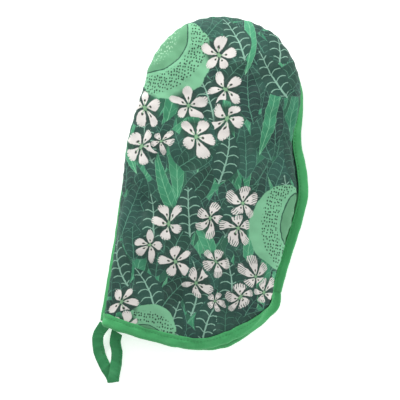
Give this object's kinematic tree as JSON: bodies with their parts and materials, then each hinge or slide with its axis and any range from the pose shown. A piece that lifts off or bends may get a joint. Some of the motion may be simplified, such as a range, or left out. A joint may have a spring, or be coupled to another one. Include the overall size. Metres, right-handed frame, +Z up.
{
  "type": "oven mitt",
  "caption": "Padded cotton oven mitt with a pinching thumb, lying palm down, printed with leaves and blossom, edged with green tape that runs on into a hanging loop.",
  "frame": {"origin": "under the middle of the whole object, loop included, on the surface that it lies on", "axes": "+Y from the cuff to the fingertips, +X to the mitt's right seen from above, +Z up, from the palm to the back of the hand"},
  "size_m": [0.1887, 0.3825, 0.0628],
  "materials": {
    "printed_cotton": "plain weave cotton, printed with dark green leaves, light green fruit and warm white blossom",
    "wadding": "soft needled wadding",
    "lining_cotton": "plain undyed cotton",
    "bias_tape": "plain weave green cotton tape, folded",
    "thread": "twisted green sewing thread"
  },
  "bodies": {
    "mitt": {"back_shell": "printed_cotton", "back_wadding": "wadding", "back_lining": "lining_cotton", "palm_shell": "printed_cotton", "palm_wadding": "wadding", "palm_lining": "lining_cotton", "finger_palm_shell": "printed_cotton", "finger_palm_wadding": "wadding", "finger_palm_lining": "lining_cotton", "cuff_binding_back": "bias_tape", "cuff_binding_back_thread": "thread", "cuff_binding_palm": "bias_tape", "cuff_binding_palm_thread": "thread", "side_binding": "bias_tape", "side_binding_thread": "thread"},
    "thumb": {"thumb_inner_shell": "printed_cotton", "thumb_inner_wadding": "wadding", "thumb_inner_lining": "lining_cotton", "thumb_outer_shell": "printed_cotton", "thumb_outer_wadding": "wadding", "thumb_outer_lining": "lining_cotton", "thumb_binding": "bias_tape", "thumb_binding_thread": "thread"},
    "loop": {"hanging_loop": "bias_tape"}
  },
  "joints": [
    {"name": "thumb_hinge", "type": "hinge", "parent": "mitt", "child": "thumb", "pos_m": [-0.0071, 0.0762, 0.0254], "axis": [-1, 0, 0], "range_deg": [0, 45]},
    {"name": "loop_swing", "type": "hinge", "parent": "mitt", "child": "loop", "pos_m": [-0.07705, -0.1356, 0.0095], "axis": [-0.9237, 0.3832, 0], "range_deg": [-45, 85]}
  ]
}
